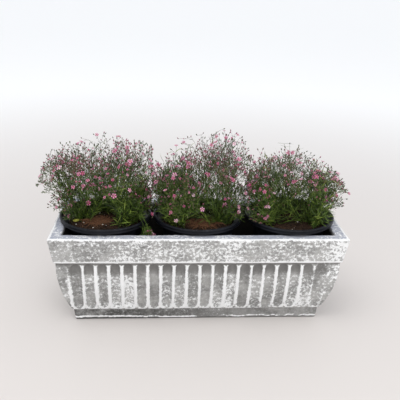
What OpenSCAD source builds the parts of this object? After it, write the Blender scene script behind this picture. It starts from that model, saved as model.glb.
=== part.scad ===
// Planter box: a cast cement trough with fluted, battered sides that holds
// three loose nursery pots of flowering baby's breath.
// Millimetres, +Z up. The origin is the centre of the trough's underside,
// +X runs along its length and -Y is the front.

/* [Trough] */
// Height of the trough from the ground to the rim
trough_height = 171; // [150:1:230]
// Thickness of the wall where it meets the rim
rim_wall = 20; // [14:0.5:30]
// Thickness of the solid base under the cavity
base_depth = 40; // [34:1:56]
// Height of the smooth band under the rim
band_height = 47; // [30:1:60]
// Height of the smooth plinth at the ground
plinth_height = 22.5; // [12:0.5:30]
// How far the band leans in over its height
band_lean = 6; // [2:0.5:9]
// Depth of the step below the band
band_step = 3; // [1.5:0.5:6]
// How far the sides have come in at the foot of the flutes
foot_inset = 30; // [22:1:32]
// How far the plinth stands back from the foot of the flutes
plinth_step = 2; // [1:0.5:4]
// How far the plinth leans in over its height
plinth_lean = 2; // [0:0.5:4]
// Radius of the bulge of the fluted sides
belly_radius = 240; // [200:5:600]
// Bevel along the outer edge of the rim
rim_bevel = 2.5; // [1:0.5:5]
// Radius of each drain hole in the base
drain_radius = 8; // [4:0.5:12]

/* [Flutes] */
// Spacing of the flutes along each side
flute_pitch = 21.9; // [19:0.1:40]
// Radius of the round tool that leaves a flute
flute_radius = 9.5; // [6:0.5:10]
// Depth of a flute
flute_depth = 4.5; // [2:0.5:5]
// Smooth margin above and below a flute
flute_margin = 2.5; // [1:0.5:6]

/* [Pots] */
// Outside diameter of a pot's rolled lip
lip_diameter = 158; // [130:1:200]
// How far the lip stands out past the pot's wall at the trough's rim
lip_overhang = 13; // [8:0.5:18]
// Height of the rolled lip
lip_height = 9; // [6:0.5:14]
// Depth of the rolled lip from front to back of its roll
lip_depth = 5; // [3.5:0.5:7]
// How far the lip's top stands above the trough's rim
lip_stand = 12; // [10:0.5:20]
// Diameter of a pot's base
pot_base_diameter = 88; // [70:1:100]
// Thickness of a pot's wall
pot_wall = 1.8; // [1.2:0.1:3]
// Gap between the lips of two neighbouring pots
lip_gap = 5; // [2:0.5:12]
// Clearance between a pot and the cavity's wall
pot_clearance = 1; // [0.5:0.1:4]
// Room beside the pots, front and back together
side_room = 23; // [14:1:50]
// How far the pots stand forward of the middle
pots_forward = 9; // [0:0.5:10]
// Radius of a drain slot in a pot's base
pot_drain_radius = 4; // [2:0.5:6]
// Number of drain slots in a pot's base
pot_drains = 6; // [3:1:8]

/* [Planting] */
// How far the soil lies below the lip's top
headspace = 11; // [8:0.5:20]
// Clearance between the root ball and the pot's wall
soil_clearance = 0.2; // [0.1:0.1:1]
// Distance of each plant's crown from the pot's axis
crown_offset = 43; // [38:1:50]
// Radius of a plant's foot where it enters the soil
foot_radius = 5; // [3:0.5:7]
// Height of a plant's bare foot above the soil
foot_height = 9; // [6:0.5:12]
// Largest radius of a plant's spray
spray_radius = 35; // [20:1:36]
// Height of the spray above its bare foot
spray_height = 150; // [100:1:180]
// Thickness of the coir top dressing
coir_depth = 4; // [2:0.5:7]
// Radius of the coir pad in the left pot
left_coir_radius = 16; // [8:1:18]
// Radius of the coir pad in the middle pot
middle_coir_radius = 20; // [8:1:22]
// Diameter of the fallen leaf
leaf_diameter = 11; // [6:0.5:20]

/* [Hidden] */
$fn = 48;
// How far a cutting cylinder runs past the face that it cuts
over = 1;
leaf_thickness = 1.2;
// Height of the hollow under a pot's base
pot_foot = 1.5;
// Further room between the end pots' bases and the cavity's ends
end_room = 0.5;
// Share of the foot's radius that a spray starts from, how far up the foot it
// starts, how quickly it fills out, and the rings that shape it
spray_start = 0.8;
spray_sink = 0.3;
spray_fullness = 0.8;
spray_steps = 12;
// Radius and height of the coir pad's shoulder, as shares of its own
coir_shoulder = [0.7, 0.8];

lip_radius = lip_diameter / 2;
wall_radius = lip_radius - lip_overhang;
base_radius = pot_base_diameter / 2;
pot_spacing = lip_diameter + lip_gap;
pot_height = trough_height + lip_stand - base_depth;
rim_rise = trough_height - base_depth;
soil_top = trough_height + lip_stand - headspace;

half_length = pot_spacing + wall_radius + pot_clearance + rim_wall;
half_width = wall_radius + side_room / 2 + rim_wall;
cavity_end = half_length - rim_wall;
cavity_side = half_width - rim_wall;
cavity_end_low = pot_spacing + base_radius + pot_clearance + end_room;
cavity_side_low = base_radius + pots_forward + pot_clearance;

band_foot = trough_height - band_height;
belly_top = [band_lean + band_step, band_foot];
belly_foot = [foot_inset, plinth_height];
belly_mid = (belly_top + belly_foot) / 2;
belly_chord = belly_foot - belly_top;
belly_reach = sqrt(pow(belly_radius, 2) - pow(norm(belly_chord) / 2, 2));
belly_in = [-belly_chord[1], belly_chord[0]] / norm(belly_chord);
belly_centre = belly_mid + belly_in * belly_reach;

flute_out = flute_radius - flute_depth;
flute_half = sqrt(pow(flute_radius, 2) - pow(flute_out, 2));
// Width of a flute's rounded tip, as a share of its channel
tip_share = 0.3;
// Half-round section of a flute, across and in
flute_section = [[-1, 0], [-0.6, 0.7], [0, 1], [0.6, 0.7], [1, 0]];
flute_foot = plinth_height + flute_margin;
flute_head = band_foot - flute_margin;

// Height of each ring round the fluted belt, and how far its flutes have opened
FLUTE_LEVELS = concat(
    [[plinth_height, 0]],
    [for (a = [0, 30, 60]) [flute_foot + flute_half * (1 - cos(a)), sin(a)]],
    [for (k = [0:4]) [
        flute_foot + flute_half + (flute_head - flute_foot - 2 * flute_half) * k / 4,
        1
    ]],
    [for (a = [60, 30, 0]) [flute_head - flute_half * (1 - cos(a)), sin(a)]],
    [[band_foot, 0]]
);

POT_X = [-pot_spacing, 0, pot_spacing];
pot_y = -pots_forward;

// Each plant: bearing round the pot's axis, lean towards +X, lean towards +Y,
// and height as a share of the full spray
LEFT_PLANTS = [[90, 0, 4, 1.0], [188, -19, -3, 0.92], [336, 0, -3, 1.04]];
MIDDLE_PLANTS = [[90, 1, 4, 1.04], [206, 0, -3, 0.96], [334, 0, -3, 1.02]];
RIGHT_PLANTS = [[90, 0, 4, 0.95], [206, 0, -3, 0.86], [334, 14, -3, 0.82]];

// Places on the soil, from the pot's axis
LEFT_COIR = [-12, -12];
MIDDLE_COIR = [8, -22];
FALLEN_LEAF = [-49, -17];

// Inset of the fluted side at height z
function belly(z) = belly_centre[0]
    - sqrt(pow(belly_radius, 2) - pow(z - belly_centre[1], 2));

// Direction of side s round the trough, starting at the front, and its outward face
RUN = [[1, 0], [0, 1], [-1, 0], [0, -1]];
FACE = [[0, -1], [1, 0], [0, 1], [-1, 0]];

// Half of side s along its run, and half of the trough across it
function along(s) = s % 2 == 0 ? half_length : half_width;
function across(s) = s % 2 == 0 ? half_width : half_length;
function flute_count(s) = floor(2 * (along(s) - foot_inset) / flute_pitch);

// Point of side s at run u, stood back from the rim's outline by inset
function on_side(s, u, inset, z) =
    let (p = RUN[s] * u + FACE[s] * (across(s) - inset))
    [p[0], p[1], z];

// Ring of four corners
function corners(inset, z) = [for (s = [0:3]) on_side(s, inset - along(s), inset, z)];

// Ring with every flute in it: share is how far the flute has opened, from 0
// at its tip to 1 in its channel
function fluted(z, share) = [
    for (s = [0:3])
        let (count = flute_count(s))
        each concat(
            [on_side(s, belly(z) - along(s), belly(z), z)],
            [
                for (i = [0:count - 1], p = flute_section)
                    on_side(
                        s,
                        (i - (count - 1) / 2) * flute_pitch + p[0] * flute_half * max(share, tip_share),
                        belly(z) + p[1] * flute_depth * share,
                        z
                    )
            ]
        )
];

// First point of side s in a fluted ring
function ring_start(s) = s == 0 ? 0 : ring_start(s - 1) + len(flute_section) * flute_count(s - 1) + 1;

// Walls between two rings of n points
function walls(low, high, n) = [
    for (i = [0:n - 1])
        let (j = (i + 1) % n)
        each [[low + i, high + i, high + j], [low + i, high + j, low + j]]
];

// Flat ledge between a ring of corners and a fluted ring of n points
function ledge(four, ring, n, upward) = [
    for (s = [0:3])
        let (next = four + (s + 1) % 4)
        each concat(
            [
                for (k = [ring_start(s):ring_start(s + 1) - 1])
                    facing([ring + k, ring + (k + 1) % n, four + s], upward)
            ],
            [facing([ring + ring_start(s + 1) % n, next, four + s], upward)]
        )
];

// A triangle, turned over unless it faces upward
function facing(t, upward) = upward ? t : [t[0], t[2], t[1]];

module trough() {
    n = ring_start(4);
    levels = len(FLUTE_LEVELS);
    points = concat(
        corners(foot_inset + plinth_step + plinth_lean, 0),
        corners(foot_inset + plinth_step, plinth_height),
        [for (v = FLUTE_LEVELS) each fluted(v[0], v[1])],
        corners(band_lean, band_foot),
        corners(0, trough_height - rim_bevel),
        corners(rim_bevel, trough_height),
        corners(rim_wall, trough_height),
        [
            for (q = [[-1, -1], [1, -1], [1, 1], [-1, 1]])
                [q[0] * cavity_end_low, q[1] * cavity_side_low, base_depth]
        ]
    );
    belt = 8;
    band = belt + levels * n;
    color("lightgray")
        difference() {
            polyhedron(
                points,
                concat(
                    [[0, 1, 2, 3]],
                    walls(0, 4, 4),
                    ledge(4, belt, n, true),
                    [for (k = [0:levels - 2]) each walls(belt + k * n, belt + (k + 1) * n, n)],
                    ledge(band, band - n, n, false),
                    [for (k = [0:3]) each walls(band + 4 * k, band + 4 * (k + 1), 4)],
                    [[band + 19, band + 18, band + 17, band + 16]]
                )
            );
            for (side = [-1, 1])
                translate([side * pot_spacing / 2, 0, -over])
                    cylinder(h = base_depth + 2 * over, r = drain_radius);
        }
}

// Inside radius of a pot at height z above its base, below the shoulder
function pot_inside(z) = base_radius - pot_wall
    + (wall_radius - base_radius) * (z - pot_foot - pot_wall) / (rim_rise - pot_foot);

module pot(x) {
    shoulder = pot_height - lip_height;
    collar = wall_radius + (lip_overhang - lip_depth);
    lip_round = lip_depth / 3;
    hollow = base_radius / 2;
    color("#1c1e20")
        translate([x, pot_y, base_depth])
            difference() {
                rotate_extrude()
                    polygon([
                        [0, pot_foot],
                        [hollow, pot_foot],
                        [hollow, 0],
                        [base_radius, 0],
                        [wall_radius, rim_rise],
                        [collar + pot_wall, shoulder + pot_wall],
                        [collar + pot_wall, shoulder],
                        [lip_radius - lip_round, shoulder],
                        [lip_radius, shoulder + lip_round],
                        [lip_radius, pot_height - lip_round],
                        [lip_radius - lip_round, pot_height],
                        [collar + lip_round, pot_height],
                        [collar, pot_height - lip_round],
                        [collar, shoulder + pot_wall * 2],
                        [wall_radius - pot_wall, rim_rise + pot_wall],
                        [base_radius - pot_wall, pot_foot + pot_wall],
                        [0, pot_foot + pot_wall]
                    ]);
                for (i = [0:pot_drains - 1])
                    rotate(i * 360 / pot_drains)
                        translate([hollow + (base_radius - hollow) / 2, 0, -over])
                            cylinder(h = pot_foot + pot_wall + 2 * over, r = pot_drain_radius);
            }
}

module root_ball(x) {
    low = pot_foot + pot_wall;
    high = soil_top - base_depth;
    brim = pot_inside(min(high, rim_rise + pot_wall)) - soil_clearance;
    color("#3b2a20")
        translate([x, pot_y, base_depth])
            rotate_extrude()
                polygon([
                    [0, low],
                    [pot_inside(low) - soil_clearance, low],
                    [brim, high],
                    [0, high]
                ]);
}

// Radius of a spray at share s of its height: slim at the foot, full above
function spray(s) =
    let (start = foot_radius * spray_start)
    start + (spray_radius - start) * pow(sin(180 * s), spray_fullness);

module plant(x, p, tint) {
    tall = spray_height * p[3];
    start = foot_height * spray_sink;
    color(tint)
        translate([
            x + crown_offset * cos(p[0]),
            pot_y + crown_offset * sin(p[0]),
            soil_top
        ]) {
            cylinder(h = foot_height, r = foot_radius);
            translate([0, 0, foot_height / 2])
                rotate([-p[2], p[1], 0])
                    rotate_extrude()
                        polygon(concat(
                            [[0, 0]],
                            [
                                for (i = [0:spray_steps])
                                    let (s = i / spray_steps)
                                    [spray(s), start + tall * s]
                            ],
                            [[0, start + tall]]
                        ));
        }
}

// A pad of coir fibre between the crowns
module coir(x, away, radius) {
    shoulder = [radius * coir_shoulder[0], coir_depth * coir_shoulder[1]];
    color("#7a4a26")
        translate([x + away[0], pot_y + away[1], soil_top])
            rotate_extrude()
                polygon([[0, 0], [radius, 0], shoulder, [0, coir_depth]]);
}

module fallen_leaf(x, away) {
    color("#a7a94a")
        translate([x + away[0], pot_y + away[1], soil_top])
            cylinder(h = leaf_thickness, d = leaf_diameter);
}

trough();
pot(POT_X[0]);  // left_pot
root_ball(POT_X[0]);  // left_root_ball
plant(POT_X[0], LEFT_PLANTS[0], "#6f9a3c");  // left_plant_back
plant(POT_X[0], LEFT_PLANTS[1], "#7fae48");  // left_plant_west
plant(POT_X[0], LEFT_PLANTS[2], "#8aa848");  // left_plant_east
coir(POT_X[0], LEFT_COIR, left_coir_radius);  // left_coir
fallen_leaf(POT_X[0], FALLEN_LEAF);  // left_fallen_leaf
pot(POT_X[1]);  // middle_pot
root_ball(POT_X[1]);  // middle_root_ball
plant(POT_X[1], MIDDLE_PLANTS[0], "#6f9a3c");  // middle_plant_back
plant(POT_X[1], MIDDLE_PLANTS[1], "#7fae48");  // middle_plant_west
plant(POT_X[1], MIDDLE_PLANTS[2], "#8aa848");  // middle_plant_east
coir(POT_X[1], MIDDLE_COIR, middle_coir_radius);  // middle_coir
pot(POT_X[2]);  // right_pot
root_ball(POT_X[2]);  // right_root_ball
plant(POT_X[2], RIGHT_PLANTS[0], "#6f9a3c");  // right_plant_back
plant(POT_X[2], RIGHT_PLANTS[1], "#7fae48");  // right_plant_west
plant(POT_X[2], RIGHT_PLANTS[2], "#8aa848");  // right_plant_east
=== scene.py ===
import math
import bpy
import numpy as np
from mathutils import Matrix, Vector
from mathutils.geometry import tessellate_polygon


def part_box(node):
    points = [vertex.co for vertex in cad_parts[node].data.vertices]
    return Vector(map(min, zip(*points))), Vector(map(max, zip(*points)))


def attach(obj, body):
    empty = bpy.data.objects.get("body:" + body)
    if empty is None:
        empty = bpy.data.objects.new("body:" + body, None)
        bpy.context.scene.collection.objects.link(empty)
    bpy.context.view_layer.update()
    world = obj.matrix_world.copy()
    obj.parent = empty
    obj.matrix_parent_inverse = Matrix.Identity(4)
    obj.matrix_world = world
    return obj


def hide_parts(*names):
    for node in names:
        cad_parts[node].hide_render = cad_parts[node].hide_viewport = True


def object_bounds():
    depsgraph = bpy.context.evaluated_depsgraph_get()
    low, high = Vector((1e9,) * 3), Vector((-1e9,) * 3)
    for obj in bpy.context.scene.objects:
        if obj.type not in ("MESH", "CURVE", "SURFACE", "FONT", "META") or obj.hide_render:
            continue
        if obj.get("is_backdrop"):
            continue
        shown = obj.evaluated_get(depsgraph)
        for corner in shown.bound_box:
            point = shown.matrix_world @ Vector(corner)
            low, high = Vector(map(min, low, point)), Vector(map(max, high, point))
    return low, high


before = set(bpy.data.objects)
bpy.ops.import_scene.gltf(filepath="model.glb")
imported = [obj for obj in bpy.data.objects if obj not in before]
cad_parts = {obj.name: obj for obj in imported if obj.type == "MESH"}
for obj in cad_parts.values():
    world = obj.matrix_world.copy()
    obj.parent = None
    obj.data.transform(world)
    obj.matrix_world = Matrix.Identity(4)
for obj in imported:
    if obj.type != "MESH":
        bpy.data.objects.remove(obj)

CAD_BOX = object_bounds()


# ---- Camera ----
# The planter is seen from a little above rim height, slightly from its left,
# with the lens of a phone held about a metre away.
EYE = Vector((-0.0684, -0.9294, 0.5566))
EYE_TURN = math.radians(-4.39)
EYE_DOWN = math.radians(20.76)
EYE_ROLL = math.radians(1.84)
lens = bpy.data.cameras.new("camera")
lens.sensor_width = 36.0
lens.lens = 50.4
camera = bpy.data.objects.new("camera", lens)
bpy.context.scene.collection.objects.link(camera)
camera.matrix_world = (
    Matrix.Translation(EYE)
    @ Matrix.Rotation(EYE_TURN, 4, "Z")
    @ Matrix.Rotation(math.pi / 2 - EYE_DOWN, 4, "X")
    @ Matrix.Rotation(EYE_ROLL, 4, "Z")
)
bpy.context.scene.camera = camera


# ---- Floor and light ----
# A plain painted floor that pales with distance, an even white room, and two
# wide soft lamps that leave a faint shadow under the plinth.
FLOOR_SIZE = 160.0
NEAR_FLOOR = (0.64, 0.605, 0.585, 1)
FAR_FLOOR = (0.98, 0.98, 0.98, 1)
NEAR_DISTANCE = 0.35
FAR_DISTANCE = 2.6
RAMP_LENGTH = 5.0
ROOM_LIGHT = (0.95, 0.97, 1.0, 1)
bpy.context.scene.view_settings.view_transform = "Standard"
bpy.ops.mesh.primitive_plane_add(size=FLOOR_SIZE)
floor = bpy.context.object
floor.name = "floor"
floor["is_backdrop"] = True


def start_finish(name, roughness, specular=0.5):
    """A new material: its node tree and its shader."""
    material = bpy.data.materials.new(name)
    material.use_nodes = True
    shader = material.node_tree.nodes["Principled BSDF"]
    shader.inputs["Roughness"].default_value = roughness
    shader.inputs["Specular IOR Level"].default_value = specular
    return material, material.node_tree, shader


def add(tree, kind, **settings):
    """A shader node with its settings."""
    made = tree.nodes.new(kind)
    for key, value in settings.items():
        setattr(made, key, value)
    return made


floor_paint, tree, shader = start_finish("floor_paint", 0.7, 0.2)
spot = add(tree, "ShaderNodeTexCoord")
distance = add(tree, "ShaderNodeVectorMath", operation="LENGTH")
pale = add(tree, "ShaderNodeValToRGB")
pale.color_ramp.interpolation = "EASE"
for stop, place, tone in ((0, NEAR_DISTANCE, NEAR_FLOOR), (1, FAR_DISTANCE, FAR_FLOOR)):
    pale.color_ramp.elements[stop].position = place / RAMP_LENGTH
    pale.color_ramp.elements[stop].color = tone
reach = add(tree, "ShaderNodeMath", operation="DIVIDE")
reach.inputs[1].default_value = RAMP_LENGTH
tree.links.new(spot.outputs["Object"], distance.inputs[0])
tree.links.new(distance.outputs["Value"], reach.inputs[0])
tree.links.new(reach.outputs[0], pale.inputs["Fac"])
tree.links.new(pale.outputs["Color"], shader.inputs["Base Color"])
floor.data.materials.append(floor_paint)

room = bpy.data.worlds.new("room")
room.use_nodes = True
room.node_tree.nodes["Background"].inputs["Color"].default_value = ROOM_LIGHT
room.node_tree.nodes["Background"].inputs["Strength"].default_value = 1.0
bpy.context.scene.world = room


def soft_lamp(name, place, aim, size, power, tint):
    """A round lamp of that width in metres, pointed at aim."""
    light = bpy.data.lights.new(name, "AREA")
    light.shape = "DISK"
    light.size = size
    light.energy = power
    light.color = tint
    lamp = bpy.data.objects.new(name, light)
    lamp.location = place
    lamp.rotation_euler = (Vector(aim) - Vector(place)).to_track_quat("-Z", "Y").to_euler()
    bpy.context.scene.collection.objects.link(lamp)


soft_lamp("ceiling_lamp", (-0.5, -0.7, 2.2), (0, 0, 0.1), 1.6, 16, (1.0, 0.975, 0.94))
soft_lamp("window_light", (0.9, -2.2, 1.1), (0, 0, 0.15), 1.8, 19, (1.0, 0.98, 0.95))


# ---- Trough ----
# One casting in grey cement, turned out of a mould, with a smooth band, round
# tooled flutes and a plinth. Limewash is dry-brushed over it, so the arrises
# and the ribs are white and the hollows stay grey. Two drain holes go through.
MM = 0.001
BODY = "trough"
RIM_WALL = 20.0
BASE_DEPTH = 40.0
BAND_HEIGHT = 47.0
PLINTH_HEIGHT = 22.5
BAND_LEAN = 6.0
BAND_STEP = 3.0
FOOT_INSET = 30.0
PLINTH_STEP = 2.0
PLINTH_LEAN = 2.0
BELLY_RADIUS = 240.0
FLUTE_PITCH = 21.9
FLUTE_RADIUS = 9.5
FLUTE_DEPTH = 4.5
FLUTE_MARGIN = 2.5
DRAIN_RADIUS = 8.0
CORNER_ROUND = 2.6
RIM_ROUND = 2.6
INNER_ROUND = 1.6
POT_BASE_RADIUS = 44.0
POTS_FORWARD = 9.0
POT_ROOM = 1.0
END_ROOM = 0.5

low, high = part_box("trough")
HALF = np.array([high.x, high.y]) / MM
TOP = high.z / MM
POT_SPACING = (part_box("right_pot")[0].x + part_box("right_pot")[1].x) / 2 / MM
BAND_FOOT = TOP - BAND_HEIGHT

belly_a = np.array([BAND_LEAN + BAND_STEP, BAND_FOOT])
belly_b = np.array([FOOT_INSET, PLINTH_HEIGHT])
chord = belly_b - belly_a
chord_length = np.hypot(*chord)
inward = np.array([-chord[1], chord[0]]) / chord_length
belly_centre = (belly_a + belly_b) / 2 + inward * math.sqrt(BELLY_RADIUS**2 - chord_length**2 / 4)


def belly(z):
    """How far the fluted side has come in at height z."""
    return belly_centre[0] - np.sqrt(BELLY_RADIUS**2 - (z - belly_centre[1]) ** 2)


def patchy(points, size, seed):
    """Smooth noise from -1 to 1 at points, with lumps of that size."""
    cell = np.asarray(points, float) / size + 64.5 + seed * 7.31
    base = np.floor(cell).astype(np.int64)
    part = cell - base
    part = part * part * (3 - 2 * part)
    total = np.zeros(len(cell))
    for corner in np.ndindex(2, 2, 2):
        at = base + corner
        mixed = (at[:, 0] * 73856093) ^ (at[:, 1] * 19349663) ^ (at[:, 2] * 83492791)
        mixed = ((mixed ^ (mixed >> 13)) * 1274126177) & 0xFFFFFF
        weight = np.prod(np.where(corner, part, 1 - part), axis=1)
        total += weight * (mixed / 0x7FFFFF - 1)
    return total


def build_piece(name, points, triangles, material, marks=None):
    """A mesh object from arrays in metres, with marks as named values on its points."""
    mesh = bpy.data.meshes.new(name)
    triangles = np.asarray(triangles, np.int32)
    mesh.vertices.add(len(points))
    mesh.vertices.foreach_set("co", np.asarray(points, np.float32).ravel())
    mesh.loops.add(triangles.size)
    mesh.loops.foreach_set("vertex_index", triangles.ravel())
    mesh.polygons.add(len(triangles))
    mesh.polygons.foreach_set("loop_start", np.arange(0, triangles.size, 3, dtype=np.int32))
    mesh.update(calc_edges=True)
    mesh.polygons.foreach_set("use_smooth", np.ones(len(triangles), bool))
    for key, values in (marks or {}).items():
        layer = mesh.attributes.new(key, "FLOAT", "POINT")
        layer.data.foreach_set("value", np.asarray(values, np.float32))
    mesh.materials.append(material)
    piece = bpy.data.objects.new(name, mesh)
    bpy.context.scene.collection.objects.link(piece)
    return piece


def skin(low_ring, high_ring, n):
    """Triangles between two rings of n points that run the same way round."""
    i = np.arange(n)
    j = (i + 1) % n
    first = np.stack([low_ring + i, low_ring + j, high_ring + j], 1)
    second = np.stack([low_ring + i, high_ring + j, high_ring + i], 1)
    return np.concatenate([first, second])


# Points along a flute's pitch, along the plain margin beyond the flutes, and round a corner
STEPS = 12
MARGIN = 4
ARC = 5
MOST_FLUTES = 40
HALF_FLUTE = math.sqrt(FLUTE_RADIUS**2 - (FLUTE_RADIUS - FLUTE_DEPTH) ** 2)


def side_runs(half_side):
    """Where a ring's points stand along the fluted part of a side, and its number of flutes."""
    count = int(2 * (half_side - FOOT_INSET) // FLUTE_PITCH)
    reach = count * FLUTE_PITCH / 2
    runs = np.linspace(-reach, reach, count * STEPS + 1)
    edge = FLUTE_PITCH * (count - 1) / 2 + HALF_FLUTE
    return runs[np.abs(runs) < edge + 0.6], count


LONG_RUNS, LONG_FLUTES = side_runs(HALF[0])
SHORT_RUNS, SHORT_FLUTES = side_runs(HALF[1])
RUN = np.array([[1, 0], [0, 1], [-1, 0], [0, -1]], float)
FACE = np.array([[0, -1], [1, 0], [0, 1], [-1, 0]], float)
flute_low = PLINTH_HEIGHT + FLUTE_MARGIN + HALF_FLUTE
flute_high = BAND_FOOT - FLUTE_MARGIN - HALF_FLUTE
# How each flute differs: its place, its width, its ends and its depth
FLUTE_WOBBLE = np.random.default_rng(11).normal(0, 1, (4, MOST_FLUTES, 4))
# The last flutes at the front's right end are worn shallow
WORN_FLUTES = 2
WORN_DEPTH = 0.45
# A flute starts this far up from its foot, and runs out at this slope
FLUTE_RUN_OUT = 7.0
RUN_OUT_SLOPE = 0.54
UNFLUTED = 9.0


def trough_ring(inset, z, corner, fluting):
    """One ring round the trough: its points, the way each faces, and its distance to a flute.

    The distance is 1 at a flute's edge, and comes with that flute's own dryness.
    """
    points, faces, marks = [], [], []
    for s in range(4):
        along, across = (HALF if s % 2 == 0 else HALF[::-1]) - inset
        runs, count = (LONG_RUNS, LONG_FLUTES) if s % 2 == 0 else (SHORT_RUNS, SHORT_FLUTES)
        straight = along - corner
        scale = min(1.0, (straight - 0.5) / runs[-1])
        spread = runs * scale
        lead = np.linspace(-straight, spread[0], MARGIN + 1)[:-1]
        u = np.concatenate([lead, spread, -lead[::-1]])
        depth = np.zeros(len(u))
        from_flute = np.full(len(u), UNFLUTED)
        dryness = np.zeros(len(u))
        if fluting:
            for k in range(count):
                odd = FLUTE_WOBBLE[s, k]
                centre = (k - (count - 1) / 2) * FLUTE_PITCH + 0.35 * odd[0]
                centre += 0.3 * math.sin(z / 21 + 3 * odd[2])
                wide = HALF_FLUTE * (1.04 + 0.05 * odd[1])
                worn = 1 + 0.10 * odd[3]
                if s == 0 and k >= count - WORN_FLUTES:
                    worn *= WORN_DEPTH
                below = (flute_low + FLUTE_RUN_OUT - z) * RUN_OUT_SLOPE + odd[2] * 0.5
                above = z - flute_high + odd[1] * 0.7
                past = max(below, above, 0)
                off = np.hypot(u - centre, past) / wide
                # A round-bottomed groove with steep sides
                cut = np.clip(1 - off**2, 0, None)
                cut = cut / (cut + 0.10) * 1.10 * np.clip(cut, 0, 1) ** 0.35
                depth = np.maximum(depth, cut * FLUTE_DEPTH * worn)
                dryness = np.where(off < from_flute, odd[3], dryness)
                from_flute = np.minimum(from_flute, off)
        ring = RUN[s] * u[:, None] + FACE[s] * (across - depth)[:, None]
        turn = np.linspace(0, math.pi / 2, ARC + 2)[1:-1]
        start = RUN[s] * straight + FACE[s] * (across - corner)
        bend = start + corner * (np.sin(turn)[:, None] * RUN[s] + np.cos(turn)[:, None] * FACE[s])
        points += [ring, bend]
        mid = (RUN[s] + FACE[s]) / math.sqrt(2)
        faces += [np.tile(FACE[s], (len(ring), 1)), np.tile(mid, (ARC, 1))]
        marks += [np.column_stack([from_flute, dryness]), np.tile([UNFLUTED, 0.0], (ARC, 1))]
    xy = np.concatenate(points)
    return np.column_stack([xy, np.full(len(xy), z)]), np.concatenate(faces), np.concatenate(marks)


def outer_levels():
    """Inset, height, corner round and fluting of each ring, up the outside."""
    base = FOOT_INSET + PLINTH_STEP + PLINTH_LEAN
    rows = [(base + 2.2, 0.0, CORNER_ROUND, False), (base + 0.7, 0.35, CORNER_ROUND, False)]
    for z in np.linspace(1.6, PLINTH_HEIGHT - 1.2, 10):
        rows.append((base - PLINTH_LEAN * z / PLINTH_HEIGHT, z, CORNER_ROUND, False))
    rows.append((FOOT_INSET + PLINTH_STEP + 0.2, PLINTH_HEIGHT - 0.4, CORNER_ROUND, False))
    rows.append((FOOT_INSET + PLINTH_STEP * 0.5, PLINTH_HEIGHT + 0.3, CORNER_ROUND, False))
    foot = np.linspace(PLINTH_HEIGHT + 0.9, flute_low, 11)
    middle = np.linspace(flute_low, flute_high, 37)[1:-1]
    head = np.linspace(flute_high, BAND_FOOT - 0.5, 12)
    for z in np.concatenate([foot, middle, head]):
        rows.append((belly(z), z, CORNER_ROUND, True))
    rows.append((BAND_LEAN + BAND_STEP * 0.8, BAND_FOOT + 0.1, CORNER_ROUND, False))
    rows.append((BAND_LEAN + 1.0, BAND_FOOT + 0.2, CORNER_ROUND, False))
    rows.append((BAND_LEAN + 0.1, BAND_FOOT + 1.0, CORNER_ROUND, False))
    for z in np.linspace(BAND_FOOT + 2.4, TOP - 4.2, 19):
        lean = BAND_LEAN * (TOP - 3 - z) / (BAND_HEIGHT - 3)
        rows.append((max(lean, 0), z, CORNER_ROUND, False))
    for a in np.radians([10, 30, 50, 70, 88]):
        inset, drop = RIM_ROUND * (1 - math.cos(a)), RIM_ROUND * (1 - math.sin(a))
        rows.append((inset, TOP - drop, CORNER_ROUND, False))
    return rows


def inner_levels():
    """Inset, height and corner round of each ring across the rim's top to its inner edge."""
    rows = []
    for inset in np.linspace(4.5, RIM_WALL - 2.0, 8):
        rows.append((inset, TOP, 3.0))
    for a in np.radians([25, 50, 75]):
        rows.append((RIM_WALL - INNER_ROUND * math.cos(a), TOP - INNER_ROUND * (1 - math.cos(a)) - 0.2, 3.5))
    return rows


OUT_ROWS = outer_levels()
rings = [trough_ring(*row) for row in OUT_ROWS]
rings += [trough_ring(inset, z, corner, False) for inset, z, corner in inner_levels()]
n_ring = len(rings[0][0])
# The cavity's wall tapers in to just clear the pots' bases on its floor
CAVITY_LOW = np.array([
    POT_SPACING + POT_BASE_RADIUS + POT_ROOM + END_ROOM,
    POT_BASE_RADIUS + POTS_FORWARD + POT_ROOM,
])
rim_ring = rings[-1][0]
for share in np.linspace(0.06, 1, 18):
    z = TOP - INNER_ROUND + (BASE_DEPTH - TOP + INNER_ROUND) * share
    scale = (HALF - RIM_WALL) * (1 - share) + CAVITY_LOW * share
    ring = rim_ring.copy()
    ring[:, :2] *= scale / (HALF - RIM_WALL)
    ring[:, 2] = z
    rings.append((ring, -rings[-1][1] if share < 0.07 else rings[-1][1], rings[-1][2]))

trough_points = np.concatenate([r[0] for r in rings])
trough_faces = np.concatenate([r[1] for r in rings])
from_flute, dryness = np.concatenate([r[2] for r in rings]).T
triangles = [skin(k * n_ring, (k + 1) * n_ring, n_ring) for k in range(len(rings) - 1)]

# The hand-finished casting is never quite true: broad waves, small dents, and pinholes
z_of = trough_points[:, 2]
raised = np.clip(z_of / 3, 0, 1)
wave = 0.7 * patchy(trough_points, 60, 1) + 0.45 * patchy(trough_points, 17, 2)
rough = 0.28 * patchy(trough_points, 6.0, 3) + 0.2 * patchy(trough_points, 3.2, 4)
near_edge = np.exp(-(((z_of - TOP) / 5) ** 2)) + np.exp(-(((z_of - BAND_FOOT) / 3) ** 2))
chips = np.clip(patchy(trough_points, 8, 5) - 0.35, 0, 1) * near_edge * 1.6
push = (wave + rough) * raised * 0.8 - chips
moved = trough_points.copy()
moved[:, :2] += trough_faces * np.minimum(push, 0.5)[:, None]
flat_top = np.clip((z_of - TOP + 3) / 3, 0, 1)
moved[:, 2] += flat_top * (0.5 * patchy(trough_points, 30, 6) + 0.25 * patchy(trough_points, 7, 7) - 0.6)
moved[:, 2] -= flat_top * chips * 0.5

# Cavity floor and underside, each pierced by the two drain holes
RIM_POINTS = 32


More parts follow.
